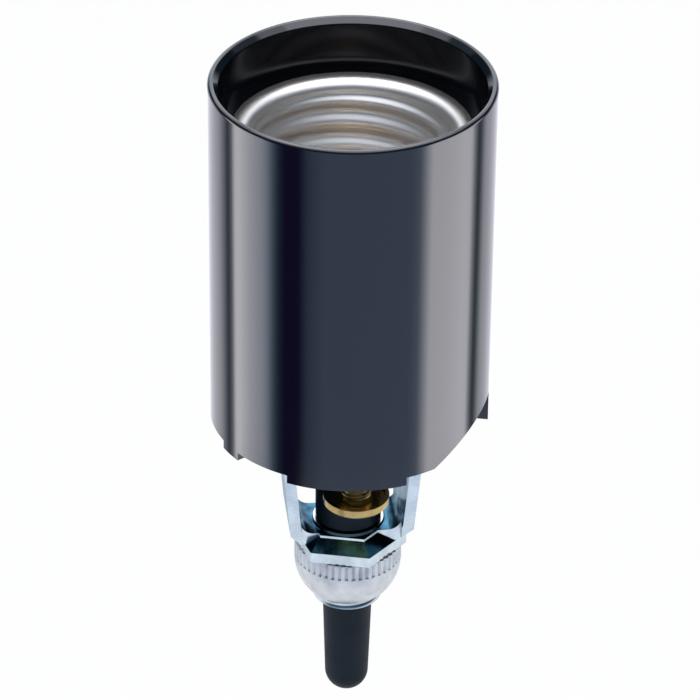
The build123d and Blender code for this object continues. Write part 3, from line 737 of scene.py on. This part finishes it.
class SOCKET_OT_studio(bpy.types.Operator):
    """Set the pale floor, the soft light and the camera."""

    bl_idname = "lamp_socket.studio"
    bl_label = "Studio"

    def execute(self, context):
        studio = context.scene.socket_studio
        floor_height = CAD_BOX[0][2] - studio.floor_drop
        self.lay_floor(context, floor_height)
        self.light_world(context)
        for name, reach, low_bands, link in (
            ("body_tent", 0.42, ("middle", "middle"), "INCLUDE"),
            ("metal_tent", 0.425, ("calm", "side"), "EXCLUDE"),
        ):
            self.set_tent(context, studio.azimuth, floor_height, name, reach, low_bands, link)
        self.hang_lamps(context)
        self.place_camera(context, studio)
        context.scene.view_settings.view_transform = "Standard"
        return {"FINISHED"}

    def lay_floor(self, context, height):
        mesh = bmesh.new()
        bmesh.ops.create_grid(mesh, x_segments=1, y_segments=1, size=4.0)
        bmesh.ops.translate(mesh, vec=(0, 0, height), verts=mesh.verts)
        data = bpy.data.meshes.new("floor")
        mesh.to_mesh(data)
        mesh.free()
        floor = bpy.data.objects.new("floor", data)
        context.scene.collection.objects.link(floor)
        material = new_material("pale_floor")
        tree = material.node_tree
        paint = add_node(tree, "ShaderNodeBsdfDiffuse", inputs={"Color": linear("#e6eaee")})
        glow = add_node(tree, "ShaderNodeEmission",
                        inputs={"Color": linear("#ffffff"), "Strength": 1.0})
        path = add_node(tree, "ShaderNodeLightPath")
        # The camera sees mostly the glow, with a little of the paint's shadow
        seen = add_node(tree, "ShaderNodeMix", data_type="FLOAT",
                        links={"Factor": path.outputs["Is Camera Ray"]})
        seen.inputs["A"].default_value = 0.0
        seen.inputs["B"].default_value = 0.93
        both = add_node(tree, "ShaderNodeMixShader",
                        links={"Fac": seen.outputs["Result"], 1: paint.outputs["BSDF"],
                               2: glow.outputs["Emission"]})
        dress(floor, finish_shader(material, both, "Shader"))

    def light_world(self, context):
        world = bpy.data.worlds.new("studio")
        world.use_nodes = True
        tree = world.node_tree
        tree.nodes.clear()
        path = add_node(tree, "ShaderNodeLightPath")
        ambient, white, overhead = (
            add_node(tree, "ShaderNodeBackground", inputs={"Color": linear(colour), "Strength": strength})
            for colour, strength in (("#f6f8ff", 0.6), ("#ffffff", 1.0), ("#f0f4ff", 3.0)))
        mirrored = add_node(tree, "ShaderNodeMixShader", links={
            "Fac": path.outputs["Is Glossy Ray"], 1: ambient.outputs["Background"],
            2: overhead.outputs["Background"]})
        both = add_node(tree, "ShaderNodeMixShader", links={
            "Fac": path.outputs["Is Camera Ray"], 1: mirrored.outputs["Shader"],
            2: white.outputs["Background"]})
        add_node(tree, "ShaderNodeOutputWorld", links={"Surface": both.outputs["Shader"]})
        context.scene.world = world

    def set_tent(self, context, azimuth, floor_height, name, reach, low_bands, link):
        """Ring wall round the socket, seen only in reflections, for the body alone or all but the body."""
        height = TENT_TOP - floor_height
        mesh = bmesh.new()
        bmesh.ops.create_cone(mesh, cap_ends=False, segments=96, radius1=reach, radius2=reach,
                              depth=height)
        bmesh.ops.translate(mesh, vec=(0, 0, floor_height + height / 2), verts=mesh.verts)
        bmesh.ops.reverse_faces(mesh, faces=mesh.faces)
        data = bpy.data.meshes.new(name)
        mesh.to_mesh(data)
        mesh.free()
        tent = bpy.data.objects.new(name, data)
        context.scene.collection.objects.link(tent)
        lit = bpy.data.collections.new(name + "_lights")
        lit.objects.link(bpy.data.objects["moulded_body"])
        lit.collection_objects[0].light_linking.link_state = link
        tent.light_linking.receiver_collection = lit
        tent.visible_camera = False
        tent.visible_diffuse = False
        tent.visible_shadow = False
        tent.visible_transmission = False
        material = new_material(name)
        tree = material.node_tree
        place = add_node(tree, "ShaderNodeTexCoord")
        turned = add_node(tree, "ShaderNodeMapping", links={"Vector": place.outputs["Object"]},
                          inputs={"Rotation": (0, 0, pi / 2 - azimuth)})
        turn = add_node(tree, "ShaderNodeTexGradient", gradient_type="RADIAL",
                        links={"Vector": turned.outputs["Vector"]})
        brightest = max(strength for bands in MIRRORED_BANDS.values() for _, _, strength in bands)
        foot, *higher = (band_colour(tree, turn.outputs["Fac"], MIRRORED_BANDS[band], brightest)
                         for band in ("foot", *low_bands, "upper", "top", "crown"))
        where = add_node(tree, "ShaderNodeSeparateXYZ", links={"Vector": place.outputs["Object"]})
        colour = foot
        for (low, high), band in zip(TENT_FADES, higher):
            share = add_node(tree, "ShaderNodeMapRange", interpolation_type="SMOOTHSTEP",
                             links={"Value": where.outputs["Z"]},
                             inputs={"From Min": low, "From Max": high})
            mix = add_node(tree, "ShaderNodeMixRGB", links={
                "Fac": share.outputs["Result"], "Color1": colour, "Color2": band})
            colour = mix.outputs["Color"]
        glow = add_node(tree, "ShaderNodeEmission", links={"Color": colour},
                        inputs={"Strength": brightest})
        if link == "INCLUDE":
            # The inner tent is clear, so that the metal sees the outer one through it
            clear = add_node(tree, "ShaderNodeBsdfTransparent")
            both = add_node(tree, "ShaderNodeAddShader",
                            links={0: glow.outputs["Emission"], 1: clear.outputs["BSDF"]})
            dress(tent, finish_shader(material, both, "Shader"))
        else:
            dress(tent, finish_shader(material, glow, "Emission"))

    def hang_lamps(self, context):
        for name, place, size, power in (
            ("key_lamp", (-0.9, -0.7, 1.1), 0.9, 8.0),
            ("fill_lamp", (1.0, -0.3, 0.9), 0.9, 5.0),
            ("top_lamp", (0.0, 0.7, 1.3), 1.0, 8.0),
        ):
            data = bpy.data.lights.new(name, "AREA")
            data.size = size
            data.energy = power
            lamp = bpy.data.objects.new(name, data)
            lamp.location = place
            lamp.rotation_euler = Vector(place).to_track_quat("Z", "Y").to_euler()
            lamp.visible_glossy = name == "top_lamp"
            context.scene.collection.objects.link(lamp)

    def place_camera(self, context, studio):
        data = bpy.data.cameras.new("camera")
        data.sensor_width = 36.0
        data.lens = studio.lens
        data.clip_start = 0.01
        camera = bpy.data.objects.new("camera", data)
        target = Vector(studio.target)
        towards = Vector((
            sin(studio.azimuth) * cos(studio.elevation),
            -cos(studio.azimuth) * cos(studio.elevation),
            sin(studio.elevation),
        ))
        camera.location = target + towards * studio.distance
        look = towards.to_track_quat("Z", "Y").to_matrix() @ Matrix.Rotation(studio.roll, 3, "Z")
        camera.rotation_euler = look.to_euler()
        context.scene.collection.objects.link(camera)
        context.scene.camera = camera


class SOCKET_PT_panel(bpy.types.Panel):
    """Lists the steps and the settings of the lamp socket."""

    bl_idname = "SOCKET_PT_panel"
    bl_label = "Lamp Socket"
    bl_space_type = "VIEW_3D"
    bl_region_type = "UI"
    bl_category = "Lamp Socket"

    def draw(self, context):
        layout = self.layout
        scene = context.scene
        for group, operator in (
            (scene.socket_finishes, "lamp_socket.finishes"),
            (scene.socket_shell, "lamp_socket.screw_shell"),
            (scene.socket_body, "lamp_socket.body"),
            (scene.socket_threads, "lamp_socket.threads"),
            (scene.socket_studio, "lamp_socket.studio"),
        ):
            box = layout.box()
            for name in group.__annotations__:
                box.prop(group, name)
            box.operator(operator)


CLASSES = (
    SOCKET_PG_shell,
    SOCKET_PG_body,
    SOCKET_PG_threads,
    SOCKET_PG_finishes,
    SOCKET_PG_studio,
    SOCKET_OT_finishes,
    SOCKET_OT_screw_shell,
    SOCKET_OT_body,
    SOCKET_OT_threads,
    SOCKET_OT_studio,
    SOCKET_PT_panel,
)


def register():
    for cls in CLASSES:
        bpy.utils.register_class(cls)
    bpy.types.Scene.socket_shell = PointerProperty(type=SOCKET_PG_shell)
    bpy.types.Scene.socket_body = PointerProperty(type=SOCKET_PG_body)
    bpy.types.Scene.socket_threads = PointerProperty(type=SOCKET_PG_threads)
    bpy.types.Scene.socket_finishes = PointerProperty(type=SOCKET_PG_finishes)
    bpy.types.Scene.socket_studio = PointerProperty(type=SOCKET_PG_studio)


def unregister():
    del bpy.types.Scene.socket_studio
    del bpy.types.Scene.socket_finishes
    del bpy.types.Scene.socket_threads
    del bpy.types.Scene.socket_body
    del bpy.types.Scene.socket_shell
    for cls in reversed(CLASSES):
        bpy.utils.unregister_class(cls)


def main():
    register()
    bpy.ops.lamp_socket.finishes()
    bpy.ops.lamp_socket.screw_shell()
    bpy.ops.lamp_socket.body()
    bpy.ops.lamp_socket.threads()
    bpy.ops.lamp_socket.studio()


if __name__ == "__main__":
    main()
